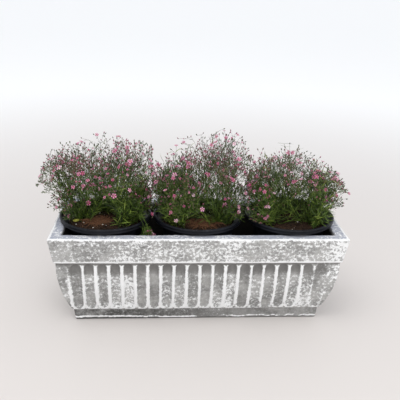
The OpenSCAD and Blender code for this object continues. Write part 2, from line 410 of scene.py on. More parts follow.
def pierced(outline, z, upward):
    """Triangles of a flat face with the drain holes left open, and the holes' own points."""
    turn = np.linspace(0, 2 * math.pi, RIM_POINTS, endpoint=False)
    loops = [[Vector((x, y, 0)) for x, y in outline]]
    holes = []
    for side in (-1, 1):
        x = side * POT_SPACING / 2 + DRAIN_RADIUS * np.cos(turn)
        y = DRAIN_RADIUS * np.sin(turn)
        holes.append(np.column_stack([x, y, np.full(RIM_POINTS, z)]))
        loops.append([Vector((a, b, 0)) for a, b in zip(x, y)])
    found = np.array(tessellate_polygon(loops))
    flat = np.concatenate([outline] + [h[:, :2] for h in holes])
    a, b, c = flat[found[:, 0]], flat[found[:, 1]], flat[found[:, 2]]
    turned = (b[:, 0] - a[:, 0]) * (c[:, 1] - a[:, 1]) - (b[:, 1] - a[:, 1]) * (c[:, 0] - a[:, 0])
    swap = (turned > 0) != upward
    found[swap] = found[swap][:, ::-1]
    return found[np.abs(turned) > 1e-9], np.concatenate(holes)


start_floor = (len(rings) - 1) * n_ring
moved[start_floor:, 2] = BASE_DEPTH
moved[:n_ring, 2] = 0
under, under_holes = pierced(moved[:n_ring, :2], 0, False)
inside, inside_holes = pierced(moved[start_floor:, :2], BASE_DEPTH, True)
first_hole = len(moved)
second_hole = first_hole + len(under_holes)
under = np.where(under < n_ring, under, under - n_ring + first_hole)
inside = np.where(inside < n_ring, inside + start_floor, inside - n_ring + second_hole)
triangles += [under, inside]
for k in range(2):
    wall = skin(first_hole + k * RIM_POINTS, second_hole + k * RIM_POINTS, RIM_POINTS)
    triangles.append(wall[:, ::-1])
moved = np.concatenate([moved, under_holes, inside_holes])


def grain(tree, size, detail=4.0, roughness=0.55, stretch=(1, 1, 1), shift=0.0):
    """Noise fixed to the object, from 0 to 1, with lumps of that size in millimetres."""
    place = add(tree, "ShaderNodeTexCoord")
    fit = add(tree, "ShaderNodeMapping")
    fit.inputs["Scale"].default_value = stretch
    fit.inputs["Location"].default_value = (shift, shift * 0.7, shift * 1.3)
    noise = add(tree, "ShaderNodeTexNoise")
    noise.inputs["Scale"].default_value = 1000 / size
    noise.inputs["Detail"].default_value = detail
    noise.inputs["Roughness"].default_value = roughness
    tree.links.new(place.outputs["Object"], fit.inputs["Vector"])
    tree.links.new(fit.outputs["Vector"], noise.inputs["Vector"])
    return noise.outputs["Fac"]


def between(tree, value, low, high, start=0.0, end=1.0):
    """Eases value from start at low to end at high."""
    ease = add(tree, "ShaderNodeMapRange", interpolation_type="SMOOTHSTEP")
    tree.links.new(value, ease.inputs["Value"])
    ease.inputs["From Min"].default_value = low
    ease.inputs["From Max"].default_value = high
    ease.inputs["To Min"].default_value = start
    ease.inputs["To Max"].default_value = end
    return ease.outputs["Result"]


def worked(tree, how, *values):
    """Values worked together one after another, each a socket or a number."""
    result = values[0]
    for value in values[1:]:
        made = add(tree, "ShaderNodeMath", operation=how)
        for socket, given in zip(made.inputs, (result, value)):
            if isinstance(given, (int, float)):
                socket.default_value = given
            else:
                tree.links.new(given, socket)
        result = made.outputs[0]
    return result


def plus(tree, *values):
    return worked(tree, "ADD", *values)


def times(tree, *values):
    return worked(tree, "MULTIPLY", *values)


def blend_colour(tree, share, a, b):
    """Colour a where share is 0 and b where it is 1."""
    made = add(tree, "ShaderNodeMix", data_type="RGBA")
    tree.links.new(share, made.inputs["Factor"])
    for key, value in (("A", a), ("B", b)):
        socket = [s for s in made.inputs if s.name == key and s.type == "RGBA"][0]
        if isinstance(value, tuple):
            socket.default_value = (*value, 1)
        else:
            tree.links.new(value, socket)
    return [s for s in made.outputs if s.type == "RGBA"][0]


def mark_of(tree, name):
    """A value that the mesh carries on its points."""
    return add(tree, "ShaderNodeAttribute", attribute_name=name).outputs["Fac"]


def colour_and_grain(tree, shader, colour, height, distance, strength=1.0):
    """A finish's colour, and relief too fine for the mesh, so many millimetres high."""
    tree.links.new(colour, shader.inputs["Base Color"])
    bump = add(tree, "ShaderNodeBump")
    bump.inputs["Distance"].default_value = distance * MM
    bump.inputs["Strength"].default_value = strength
    tree.links.new(height, bump.inputs["Height"])
    tree.links.new(bump.outputs["Normal"], shader.inputs["Normal"])


CEMENT_DARK = (0.20, 0.197, 0.190)
CEMENT_PALE = (0.37, 0.365, 0.355)
DAMP_FOOT = (0.075, 0.073, 0.069)
# Painted shade for the cavity's wall, near black
PAINTED_CAVITY_SHADE = (0.022, 0.020, 0.018)
LIMEWASH = (0.88, 0.885, 0.89)
PALE_GRIT = (0.55, 0.55, 0.54)
SHADED_CEMENT = (0.165, 0.160, 0.155)
# Painted sky light: a bluish grey for the rim's top face
PAINTED_SKYLIGHT_GREY = (0.385, 0.41, 0.50)


def cement_finish():
    material, tree, shader = start_finish("limewashed_cement", 0.88, 0.25)
    body = blend_colour(tree, between(tree, grain(tree, 30), 0.36, 0.64), CEMENT_DARK, CEMENT_PALE)
    flecks = between(tree, grain(tree, 2.2, 2.0, 0.6, shift=3.0), 0.52, 0.66)
    body = blend_colour(tree, times(tree, flecks, 0.30), body, PALE_GRIT)
    body = blend_colour(tree, times(tree, mark_of(tree, "shaded"), 0.8), body, SHADED_CEMENT)
    # The rim's top face takes a bluish grey: the grey cement with painted sky light on it
    body = blend_colour(tree, times(tree, mark_of(tree, "top"), 0.9), body, PAINTED_SKYLIGHT_GREY)
    mottle = between(tree, grain(tree, 38, 5, 0.62, shift=5.0), 0.26, 0.50)
    damp = times(tree, mark_of(tree, "foot"), mottle)
    body = blend_colour(tree, damp, body, DAMP_FOOT)
    # The brush leaves white where the surface stands proud, in broken strokes and specks
    brush = grain(tree, 5.0, 5.0, 0.75, shift=9.0)
    strokes = grain(tree, 9, 4.0, 0.70, (0.30, 0.30, 1.8), 13.0)
    field = grain(tree, 75, 2.0, 0.5, shift=17.0)
    load = plus(tree, times(tree, brush, 0.55), times(tree, strokes, 0.24), times(tree, field, 0.21))
    load = plus(tree, load, times(tree, mark_of(tree, "proud"), 0.25))
    wash = between(tree, load, 0.545, 0.600)
    veil = between(tree, load, 0.44, 0.62, 0.0, 0.30)
    cover = worked(tree, "MAXIMUM", wash, veil)
    colour = blend_colour(tree, cover, body, LIMEWASH)
    # The cavity's wall is painted near black: painted shade down inside the trough
    colour = blend_colour(tree, mark_of(tree, "inside"), colour, PAINTED_CAVITY_SHADE)
    pits = between(tree, grain(tree, 1.6, 3.0, 0.7, shift=21.0), 0.30, 0.52)
    dabs = times(tree, grain(tree, 4.5, 4.0, 0.7, shift=25.0), 0.8)
    relief = plus(tree, pits, dabs, times(tree, wash, 0.35))
    colour_and_grain(tree, shader, colour, relief, 0.8, 0.8)
    return material


def eased(value, low, high):
    """From 0 at low to 1 at high, smoothly."""
    share = np.clip((value - low) / (high - low), 0, 1)
    return share * share * (3 - 2 * share)


def near(value, centre, width):
    """1 at centre, falling off over width."""
    return np.exp(-(((value - centre) / width) ** 2))


# Where the brush reaches: ribs and arrises hold white, the band is speckled, hollows stay
# grey, the plinth has one white line, and the front's right end is smeared
spare = len(moved) - len(from_flute)
height = moved[:, 2]
facing = np.concatenate([trough_faces, np.zeros((spare, 2))])
from_flute = np.concatenate([from_flute, np.full(spare, UNFLUTED)])
dryness = np.concatenate([dryness, np.zeros(spare)])
belt = (height > PLINTH_HEIGHT + 0.5) & (height < BAND_FOOT - 0.1)
up_belt = np.clip((height - PLINTH_HEIGHT) / (BAND_FOOT - PLINTH_HEIGHT), 0, 1)
rib = eased(from_flute, 0.97, 1.10) * (1 - eased(from_flute, 1.30, 1.60))
hollow = 1 - eased(from_flute, 0.88, 1.06)
flute_specks = 0.11 + np.clip(0.20 * dryness, -0.22, 0.22) * (1 - eased(up_belt, 0.60, 0.88))
rib_load = 0.70 - 0.16 * eased(up_belt, 0.84, 1.0) - 0.26 * (1 - eased(up_belt, 0.04, 0.26))
proud = 0.13 + rib * rib_load
proud = proud * (1 - hollow) + hollow * (flute_specks - 0.7 * eased(up_belt, 0.72, 0.86))
proud = np.where(belt, proud, 0.19 + 0.06 * eased(moved[:, 0], -60, 120))
proud += 1.1 * near(height, TOP, 1.55)
proud += 0.85 * near(height, BAND_FOOT + 1.3, 1.4)
proud -= 1.0 * near(height, BAND_FOOT - 2.4, 2.6)
foot_line = 5.0 + 1.8 * patchy(moved, 26, 31) + 0.9 * patchy(moved, 7, 32)
plinth_proud = -0.12 + 1.2 * near(height, foot_line, 1.15) * eased(patchy(moved, 34, 33), -0.9, -0.1)
plinth_proud -= 0.5 * (height < 2.5)
proud = np.where(height < PLINTH_HEIGHT, plinth_proud, proud)
smeared = eased(moved[:, 0], 165, 205) * (facing[:, 1] < -0.5) * belt
proud = proud * (1 - 0.6 * smeared) + 0.15 * smeared
past_rim = np.arange(len(moved)) >= len(OUT_ROWS) * n_ring
proud = np.where(past_rim, 0.17, proud)
on_plinth = 1 - eased(height, PLINTH_HEIGHT - 4, PLINTH_HEIGHT + 1)
drier_right = 1 - 0.85 * eased(moved[:, 0], -150, 170)
under_band = np.maximum(hollow * eased(up_belt, 0.70, 0.88), near(height, BAND_FOOT - 2, 3))
marks = {
    "proud": proud,
    "foot": on_plinth * drier_right,
    # Painted sky light on the rim's top face
    "top": eased(height, TOP - 2.5, TOP - 0.8) * (facing[:, 0] ** 2 + facing[:, 1] ** 2 > 0) * past_rim,
    "shaded": np.where(belt, under_band, height < 2.2),
    # Painted shade over the cavity's wall below the rim's inner edge
    "inside": past_rim * (1 - eased(height, TOP - 9, TOP - 2)),
}
trough = build_piece("cast_trough", moved * MM, np.concatenate(triangles), cement_finish(), marks)
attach(trough, BODY)
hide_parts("trough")


# ---- Nursery pots ----
# Three thin black plastic pots with a rolled lip, a collar and drain slots in
# a raised base. They stand loose on the cavity's floor, a little forward, so
# that their lips overhang the rim.
POT_WALL = 1.8
LIP_OVERHANG = 13.0
POT_FOOT = 1.5
DRAIN_SLOTS = 6
SLOT_RADIUS = 4.0
SLOTS_OUT = 0.75
POT_SIDES = 160
POT_WOBBLE = 0.9
SIDES = ("left", "middle", "right")


def pot_place(side):
    """A pot's centre, the height of its foot, its lip's radius and how tall it is, in millimetres."""
    low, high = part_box(side + "_pot")
    centre = (low + high) / 2 / MM
    return centre.x, centre.y, low.z / MM, (high.x - low.x) / 2 / MM, (high.z - low.z) / MM


def pot_outline(lip, tall):
    """The pot's section from the middle of its base, round the lip and back inside."""
    wall = lip - LIP_OVERHANG
    rise = tall - 12
    outside = [(0, POT_FOOT), (20, POT_FOOT), (21.5, POT_FOOT), (22, 0.3), (23, 0)]
    outside += [(34, 0), (POT_BASE_RADIUS - 1, 0), (POT_BASE_RADIUS, 0.8)]
    for share in np.linspace(0.04, 1, 12):
        outside.append((POT_BASE_RADIUS + (wall - POT_BASE_RADIUS) * share, rise * share))
    outside += [(wall + 4.5, rise + 2.0), (lip - 3.4, rise + 3.0), (lip - 2.2, rise + 2.8)]
    outside += [(lip - 1.2, rise + 3.2), (lip - 0.9, rise + 4.2), (lip - 1.5, rise + 5.2)]
    outside += [(lip - 1.3, rise + 7.4)]
    roll = 2.3
    for a in np.radians(np.linspace(-35, 215, 13)):
        outside.append((lip - roll + roll * math.cos(a), tall - roll + roll * math.sin(a)))
    outside += [(lip - 5.2, tall - 5.5), (lip - 5.4, rise + 4.4), (lip - 6.4, rise + 3.0)]
    for share in np.linspace(1, 0.03, 10):
        radius = POT_BASE_RADIUS - POT_WALL + (wall - POT_BASE_RADIUS) * share
        outside.append((radius, POT_FOOT + POT_WALL + (rise - POT_FOOT) * share))
    outside += [(30, POT_FOOT + POT_WALL), (0, POT_FOOT + POT_WALL)]
    return outside


def turned(outline, centre, count, wobble=0.0, seed=0):
    """Points and triangles of an outline turned about the vertical through centre."""
    turn = np.linspace(0, 2 * math.pi, count, endpoint=False)
    points = []
    for radius, z in outline[1:-1]:
        ring = np.column_stack([radius * np.cos(turn), radius * np.sin(turn), np.full(count, z)])
        points.append(ring)
    rings = np.concatenate(points)
    if wobble:
        loose = np.clip(rings[:, 2] / 130, 0, 1) ** 2
        way = rings[:, :2] / np.hypot(rings[:, 0], rings[:, 1])[:, None]
        flat = rings * (1, 1, 0)
        rings[:, :2] += way * (loose * wobble * patchy(flat, 55, seed))[:, None]
        rings[:, 2] += loose * wobble * 0.4 * patchy(flat, 48, seed + 1)
    last = len(rings)
    rings = np.concatenate([rings, [[0, 0, outline[0][1]], [0, 0, outline[-1][1]]]]) + centre
    around = np.arange(count)
    after = (around + 1) % count
    ends = [
        np.stack([np.full(count, last), after, around], 1),
        np.stack([np.full(count, last + 1), last - count + around, last - count + after], 1),
    ]
    sides = [skin(k * count, (k + 1) * count, count) for k in range(len(points) - 1)]
    return rings, np.concatenate(sides + ends)


def plastic_finish():
    material, tree, shader = start_finish("black_pot_plastic", 0.40, 0.16)
    cloudy = between(tree, grain(tree, 30, 3), 0.35, 0.7)
    colour = blend_colour(tree, cloudy, (0.0045, 0.005, 0.0075), (0.010, 0.011, 0.015))
    dust = between(tree, grain(tree, 3.0, 4.0, 0.7, (1, 1, 3), 4.0), 0.52, 0.72)
    on_lip = plus(tree, times(tree, mark_of(tree, "lip"), 0.28), 0.06)
    dust = times(tree, dust, on_lip)
    colour = blend_colour(tree, dust, colour, (0.13, 0.135, 0.15))
    rubbed = between(tree, grain(tree, 9, 3, shift=7.0), 0.3, 0.7, 0.32, 0.55)
    tree.links.new(rubbed, shader.inputs["Roughness"])
    lines = grain(tree, 2.6, 2.0, 0.5, (0.25, 0.25, 2.2), 8.0)
    colour_and_grain(tree, shader, colour, lines, 0.25, 0.5)
    return material


def drilled(piece, centre):
    """Cuts the drain slots through a pot's base."""
    hole, faces = [], []
    for k in range(DRAIN_SLOTS):
        turn = 2 * math.pi * k / DRAIN_SLOTS
        middle = POT_BASE_RADIUS * SLOTS_OUT
        at = np.array([middle * math.cos(turn), middle * math.sin(turn), 0]) + centre
        drill = [(0, -1.0), (SLOT_RADIUS, -1.0), (SLOT_RADIUS, 6.0), (0, 6.0)]
        points, triangles = turned(drill, at, 20)
        faces.append(triangles + sum(len(h) for h in hole))
        hole.append(points)
    drill = build_piece("drill", np.concatenate(hole) * MM, np.concatenate(faces), piece.data.materials[0])
    cut = piece.modifiers.new("slots", "BOOLEAN")
    cut.operation = "DIFFERENCE"
    cut.solver = "EXACT"
    cut.object = drill
    bpy.context.view_layer.update()
    made = bpy.data.meshes.new_from_object(piece.evaluated_get(bpy.context.evaluated_depsgraph_get()))
    piece.modifiers.clear()
    piece.data = made
    bpy.data.objects.remove(drill)


black_plastic = plastic_finish()
for number, pot_side in enumerate(SIDES):
    x, y, base, lip, tall = pot_place(pot_side)
    outline = pot_outline(lip, tall)
    points, triangles = turned(outline, (x, y, base), POT_SIDES, POT_WOBBLE, 40 + number)
    worn_lip = np.exp(-(((points[:, 2] - base - tall) / 2.5) ** 2))
    pot = build_piece(pot_side + "_nursery_pot", points * MM, triangles, black_plastic, {"lip": worn_lip})
    drilled(pot, (x, y, base))
    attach(pot, pot_side + "_pot")
    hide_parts(pot_side + "_pot")


# ---- Soil ----
# Dark peaty soil fills each pot to a finger's breadth below the lip. Its top
# is lumpy, with loose crumbs and a few white grains of perlite.
SOIL_GAP = 0.3
CRUMBS = 900
PERLITE = 26
CRUMB_SIZE = 2.0
SOIL_SIDES = 190
soil_seed = np.random.default_rng(5)


def soil_finish():
    material, tree, shader = start_finish("potting_soil", 0.95, 0.1)
    colour = blend_colour(tree, between(tree, grain(tree, 7, 5, 0.7), 0.35, 0.65),
                          (0.014, 0.009, 0.007), (0.058, 0.033, 0.022))
    specks = between(tree, grain(tree, 1.8, 2.0, 0.6, shift=6.0), 0.60, 0.68)
    colour = blend_colour(tree, times(tree, specks, 0.5), colour, (0.17, 0.10, 0.06))
    colour = blend_colour(tree, mark_of(tree, "perlite"), colour, (0.62, 0.60, 0.55))
    colour_and_grain(tree, shader, colour, grain(tree, 2.2, 5.0, 0.75, shift=2.0), 1.2, 0.9)
    return material


BLOCK = np.array([
    [0, 0, 1], [0.89, 0, 0.45], [0.28, 0.85, 0.45], [-0.72, 0.53, 0.45],
    [-0.72, -0.53, 0.45], [0.28, -0.85, 0.45], [0.72, 0.53, -0.45], [-0.28, 0.85, -0.45],
    [-0.89, 0, -0.45], [-0.28, -0.85, -0.45], [0.72, -0.53, -0.45], [0, 0, -1],
])
BLOCK_FACES = np.array(
    [[0, 1 + k, 1 + (k + 1) % 5] for k in range(5)]
    + [[11, 6 + (k + 1) % 5, 6 + k] for k in range(5)]
    + [[1 + k, 6 + k, 1 + (k + 1) % 5] for k in range(5)]
    + [[6 + k, 6 + (k + 1) % 5, 1 + (k + 1) % 5] for k in range(5)]
)


def lumps(places, sizes, dice):
    """Irregular little blocks, one at each place."""
    n = len(places)
    shape = BLOCK[None] * dice.uniform(0.6, 1.3, (n, len(BLOCK), 1)) * dice.uniform(0.6, 1.2, (n, 1, 3))
    points = (places[:, None] + shape * sizes[:, None, None]).reshape(-1, 3)
    faces = (BLOCK_FACES[None] + len(BLOCK) * np.arange(n)[:, None, None]).reshape(-1, 3)
    return points, faces


def soil_height(x, y, centre, top):
    """Height of the lumpy soil under a point."""
    flat = np.column_stack([x, y, np.zeros(len(x)) + centre])
    return top + 1.3 * patchy(flat, 24, 61) + 0.8 * patchy(flat, 9, 62) + 0.45 * patchy(flat, 3.6, 63)


soil_material = soil_finish()
SOIL_TOP = {}
for pot_side in SIDES:
    x, y, base, lip, tall = pot_place(pot_side)
    low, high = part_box(pot_side + "_root_ball")
    top = high.z / MM - 1.0
    SOIL_TOP[pot_side] = top
    brim = (high.x - low.x) / 2 / MM - SOIL_GAP
    foot = POT_BASE_RADIUS - POT_WALL - 0.8
    outline = [(0, low.z / MM + 0.1), (foot, low.z / MM + 0.1), (brim, top - 4)]
    outline += [(r, top) for r in np.linspace(brim, 1.5, 46)]
    outline += [(0, top)]
    points, triangles = turned(outline, (x, y, 0), SOIL_SIDES)
    on_top = points[:, 2] > top - 1
    points[on_top, 2] = soil_height(points[on_top, 0], points[on_top, 1], x, top)
    n = CRUMBS + PERLITE
    reach = (brim - 2) * np.sqrt(soil_seed.uniform(0, 1, n))
    turn = soil_seed.uniform(0, 2 * math.pi, n)
    spots = np.column_stack([x + reach * np.cos(turn), y + reach * np.sin(turn), np.zeros(n)])
    spots[:, 2] = soil_height(spots[:, 0], spots[:, 1], x, top) + 0.3
    big = soil_seed.uniform(0.5, 1.0, n) ** 2 * CRUMB_SIZE
    crumbs, crumb_faces = lumps(spots, big, soil_seed)
    white = np.zeros(len(points) + len(crumbs))
    white[len(points) + len(BLOCK) * CRUMBS:] = 1
    soil = build_piece(
        pot_side + "_potting_soil",
        np.concatenate([points, crumbs]) * MM,
        np.concatenate([triangles, crumb_faces + len(points)]),
        soil_material,
        {"perlite": white},
    )
    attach(soil, pot_side + "_pot")
    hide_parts(pot_side + "_root_ball")


# ---- Coir ----
# Loose tufts of brown coconut fibre show at the front of two of the pots,
# where the plug's own growing medium has come to the surface.
COIR_THREADS = 420
COIR_SPREAD = (1.2, 0.9)
THREAD_POINTS = 8
THREAD_SIDES = 5


def coir_finish():
    material, tree, shader = start_finish("coir_fibre", 0.8, 0.2)
    shade = mark_of(tree, "shade")
    colour = blend_colour(tree, shade, (0.060, 0.022, 0.012), (0.27, 0.125, 0.062))
    fine = between(tree, grain(tree, 2.5, 3), 0.3, 0.7)
    colour = blend_colour(tree, times(tree, fine, 0.25), colour, (0.36, 0.22, 0.13))
    colour_and_grain(tree, shader, colour, grain(tree, 0.7, 2.0, shift=1.0), 0.15)
    return material


def tubes(paths, radii, sides, flat=1.0, up=None):
    """Closed tubes along many paths at once.

    paths is (n, k, 3) and radii (n, k); flat squeezes the section into a blade.
    up is the blade's own upward direction, one for each path.
    """
    n, k = paths.shape[:2]
    way = np.gradient(paths, axis=1)
    way /= np.linalg.norm(way, axis=2, keepdims=True) + 1e-12
    if up is None:
        up = np.tile([0.31, 0.23, 0.92], (n, 1))
    across = np.cross(way, up[:, None, :])
    size = np.linalg.norm(across, axis=2, keepdims=True)
    across = np.where(size > 1e-3, across / (size + 1e-12), [1.0, 0, 0])
    over = np.cross(across, way)
    turn = np.linspace(0, 2 * math.pi, sides, endpoint=False)
    c, s = np.cos(turn), np.sin(turn) * flat
    ring = across[:, :, None] * c[:, None] + over[:, :, None] * s[:, None]
    points = paths[:, :, None] + ring * radii[:, :, None, None]
    one = [skin(step * sides, (step + 1) * sides, sides) for step in range(k - 1)]
    fan = np.arange(1, sides - 1)
    one.append(np.stack([np.zeros_like(fan), fan + 1, fan], 1))
    last = (k - 1) * sides
    one.append(np.stack([last + np.zeros_like(fan), last + fan, last + fan + 1], 1))
    one = np.concatenate(one)
    faces = one[None] + (k * sides * np.arange(n))[:, None, None]
    return points.reshape(-1, 3), faces.reshape(-1, 3)


coir_material = coir_finish()
for pot_side in ("left", "middle"):
    low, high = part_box(pot_side + "_coir")
    middle = np.array((low + high) / 2) / MM
    patch = (high.x - low.x) / 2 / MM
    x = pot_place(pot_side)[0]
    dice = np.random.default_rng(17 if pot_side == "left" else 18)
    reach = patch * np.sqrt(dice.uniform(0, 1, COIR_THREADS))
    turn = dice.uniform(0, 2 * math.pi, COIR_THREADS)
    start = np.column_stack([
        reach * np.cos(turn) * COIR_SPREAD[0], reach * np.sin(turn) * COIR_SPREAD[1], np.zeros(COIR_THREADS),
    ])
    start[:, :2] += middle[:2]
    heading = dice.uniform(0, 2 * math.pi, COIR_THREADS)
    length = dice.uniform(6, 22, COIR_THREADS)
    curl = dice.normal(0, 1.2, COIR_THREADS)
    share = np.linspace(0, 1, THREAD_POINTS)
    angle = heading[:, None] + curl[:, None] * share
    step = length[:, None] / (THREAD_POINTS - 1)
    px = start[:, :1] + np.cumsum(np.cos(angle) * step, 1)
    py = start[:, 1:2] + np.cumsum(np.sin(angle) * step, 1)
    ground = soil_height(px.ravel(), py.ravel(), x, SOIL_TOP[pot_side]).reshape(px.shape)
    lift = dice.uniform(0.2, 3.4, COIR_THREADS)[:, None] * np.sin(math.pi * share) + 0.25
    paths = np.stack([px, py, ground + lift], 2)
    thick = dice.uniform(0.14, 0.36, COIR_THREADS)[:, None] * np.array([0.5, 1, 1, 1, 1, 1, 0.9, 0.4])
    points, triangles = tubes(paths, thick, THREAD_SIDES)
    shade = np.repeat(dice.uniform(0, 1, COIR_THREADS), THREAD_POINTS * THREAD_SIDES)
    coir = build_piece(pot_side + "_coir_tuft", points * MM, triangles, coir_material, {"shade": shade})
    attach(coir, pot_side + "_pot")
    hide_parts(pot_side + "_coir")


# ---- Fallen leaf ----
# A small round leaf, gone yellow and a little cupped, has dropped on the soil
# at the left pot's edge. It lies there loose.
def dry_leaf_finish():
    material, tree, shader = start_finish("yellowed_leaf", 0.55, 0.4)
    patches = between(tree, grain(tree, 5, 3), 0.35, 0.65)
    colour = blend_colour(tree, patches, (0.30, 0.33, 0.035), (0.50, 0.47, 0.10))
    spots = between(tree, grain(tree, 2.2, 2, shift=3.0), 0.62, 0.70)
    colour = blend_colour(tree, spots, colour, (0.16, 0.09, 0.03))
    colour_and_grain(tree, shader, colour, grain(tree, 1.2, 3.0, shift=1.0), 0.2)
    return material


low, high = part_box("left_fallen_leaf")
middle = np.array((low + high) / 2) / MM
blade = (high.x - low.x) / 2 / MM
LEAF_POINTS = 40
HALF_THICK = 0.16
VEIN_DEPTH = 0.15
LEAF_LIFT = 3.2
# Rings run out over the top, round the edge and back under
LEAF_RINGS = (0.25, 0.5, 0.75, 0.93, 1.0, 0.93, 0.75, 0.5, 0.25)
turn = np.linspace(0, 2 * math.pi, LEAF_POINTS, endpoint=False)
rings = []
for share in LEAF_RINGS:
    edge = blade * share * (1 - 0.10 * np.cos(turn)) * (1 + 0.03 * np.sin(7 * turn))
    rings.append([edge * np.cos(turn), edge * 0.82 * np.sin(turn)])
rings = np.array(rings).transpose(0, 2, 1)
curl = 1.1 * (rings[:, :, 0] / blade) ** 2 + 0.7 * (rings[:, :, 1] / blade) ** 2
vein = VEIN_DEPTH * np.exp(-((rings[:, :, 1] / 0.5) ** 2))
half = HALF_THICK * np.sign(len(LEAF_RINGS) // 2 - np.arange(len(LEAF_RINGS)))[:, None]
leaf_points = np.dstack([rings, curl - vein + half]).reshape(-1, 3)
leaf_middles = [[0, 0, HALF_THICK - VEIN_DEPTH], [0, 0, -HALF_THICK - VEIN_DEPTH]]
leaf_points = np.concatenate([leaf_points, leaf_middles])
around = np.arange(LEAF_POINTS)
after = (around + 1) % LEAF_POINTS
last = len(LEAF_RINGS) * LEAF_POINTS
inner = last - LEAF_POINTS
starts = range(0, inner, LEAF_POINTS)
leaf_faces = [skin(k, k + LEAF_POINTS, LEAF_POINTS)[:, ::-1] for k in starts]
leaf_faces.append(np.stack([np.full(LEAF_POINTS, last), around, after], 1))
leaf_faces.append(np.stack([np.full(LEAF_POINTS, last + 1), inner + after, inner + around], 1))
tilt = np.array(Matrix.Rotation(math.radians(9), 3, "X") @ Matrix.Rotation(math.radians(-8), 3, "Y"))
leaf_points = leaf_points @ tilt.T + (middle[0], middle[1], SOIL_TOP["left"] + LEAF_LIFT)
leaf = build_piece("left_yellow_leaf", leaf_points * MM, np.concatenate(leaf_faces), dry_leaf_finish())
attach(leaf, "left_pot")
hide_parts("left_fallen_leaf")


# ---- Plants ----
# Three plugs of annual baby's breath grow in each pot. A plug is a low thicket
# of narrow green leaves, and fine stems that fork over and over into an airy
# mound of buds and small five-petalled flowers.
# How far the mound reaches from the pot's axis
REACH_FRONT = 88.0
REACH_BACK = 82.0
MAIN_STEMS = {"left": 20, "middle": 18, "right": 15}
FORKS = 6
LOW_SPRAYS = 0.42
STEM_RADIUS = 0.62
LEAFY_SHOOTS = 54
SHOOT_LEAF_LENGTHS = (11, 23)
SHOOT_LEAF_WIDTHS = (1.0, 1.7)
FLOWER_RADII = (3.4, 4.9)
# Soil that the shoots leave bare, at the front of each pot
BARE_RADIUS = 27.0
BARE_SOIL = {
    "left": [(-12, -46), (-50, -30), (-62, -8)],
    "middle": [(14, -48), (38, -44)],
    "right": [(-22, -48), (2, -52)],
}
# Height of the mound over the soil, from one side of the pot to the other
MOUND = {
    "left": [(-114, 44), (-104, 92), (-88, 134), (-60, 150), (-10, 166), (44, 172), (62, 152), (84, 128)],
    "middle": [(-84, 130), (-66, 144), (-20, 150), (20, 164), (38, 174), (62, 170), (76, 150), (86, 132)],
    "right": [
        (-84, 124), (-52, 142), (-36, 152), (0, 148), (32, 140), (56, 114), (76, 94), (98, 56), (106, 40),
    ],
}
# Where stems of the left pot's east plug cross the lip, to hang between two pots
OVER_LIP = np.array([(70.0, -46.0, 15.0), (72.0, -51.0, 13.0), (66.0, -53.0, 14.0)])
# How far each plug's foot stands from the pot's axis, and on what bearing
FOOT_OUT = 40.0
PLUGS = {
    "left": {"back": 90, "west": 188, "east": 336},
    "middle": {"back": 90, "west": 206, "east": 334},
    "right": {"back": 90, "west": 206, "east": 334},
}


def mound_height(side, x, y):
    """How high over the soil the mound stands, at x, y from the pot's axis."""
    outline = np.array(MOUND[side], float)
    crest = np.interp(x, outline[:, 0], outline[:, 1], left=20, right=20)
    depth = np.where(y < 0, y / REACH_FRONT, y / REACH_BACK)
    return crest * np.sqrt(np.clip(1 - depth**2, 0.04, 1))


def unit(vectors):
    return vectors / (np.linalg.norm(vectors, axis=-1, keepdims=True) + 1e-12)


def swung(way, axis, angle):
    """Each direction turned about its own axis by its own angle."""
    c, s = np.cos(angle)[:, None], np.sin(angle)[:, None]
    return way * c + np.cross(axis, way) * s + axis * (axis * way).sum(1, keepdims=True) * (1 - c)


def square_to(way, dice):
    """A random direction square to each given one."""
    return unit(np.cross(way, dice.normal(0, 1, way.shape)))


def leaving(heading, side_way, low, high, dice):
    """A leaf's way out from each heading, low to high degrees off it, and its upper side."""
    angle = np.radians(dice.uniform(low, high, len(heading)))[:, None]
    way = heading * np.cos(angle) + side_way * np.sin(angle)
    return way, heading - way * (heading * way).sum(1, keepdims=True)


# How far the plants reach to each side before they are held, and over how much they ease
REACH_WEST = {"left": (96, 19), "middle": (66, 15), "right": (66, 15)}
REACH_EAST = {"left": (66, 15), "middle": (66, 15), "right": (88, 18)}
HOLD_BACK = (74, 18)
HOLD_FRONT = (66, 18)
# The crown is eased from this share of the mound's height, over this much
CROWN = 0.92
CROWN_EASE = 9
LIP_REACH = 62
# Least height over the soil near the pot's lip, and elsewhere
OVER_THE_LIP = 14.5
OVER_THE_SOIL = 1.2


def held(value, limit, give):
    """Eases what is past limit back to within give of it."""
    return np.where(value > limit, limit + give * np.tanh((value - limit) / give), value)


def kept_in(points, side, soil_top):
    """Leans what would grow into the next pot's plants, or out of the mound, back inside."""
    x = -held(-points[..., 0], *REACH_WEST[side])
    x = held(x, *REACH_EAST[side])
    y = held(points[..., 1], *HOLD_BACK)
    y = -held(-y, *HOLD_FRONT)
    z = points[..., 2] - soil_top
    ceiling = mound_height(side, np.clip(x, -112, 104), np.clip(y, -84, 78))
    over = np.clip(z - ceiling * CROWN, 0, None)
    z = np.where(over > 0, ceiling * CROWN + CROWN_EASE * np.tanh(over / (2 * CROWN_EASE)), z)
    near_lip = np.hypot(x, y) > LIP_REACH
    z = np.maximum(z, np.where(near_lip, OVER_THE_LIP, OVER_THE_SOIL))
    return np.stack([x, y, z + soil_top], -1)


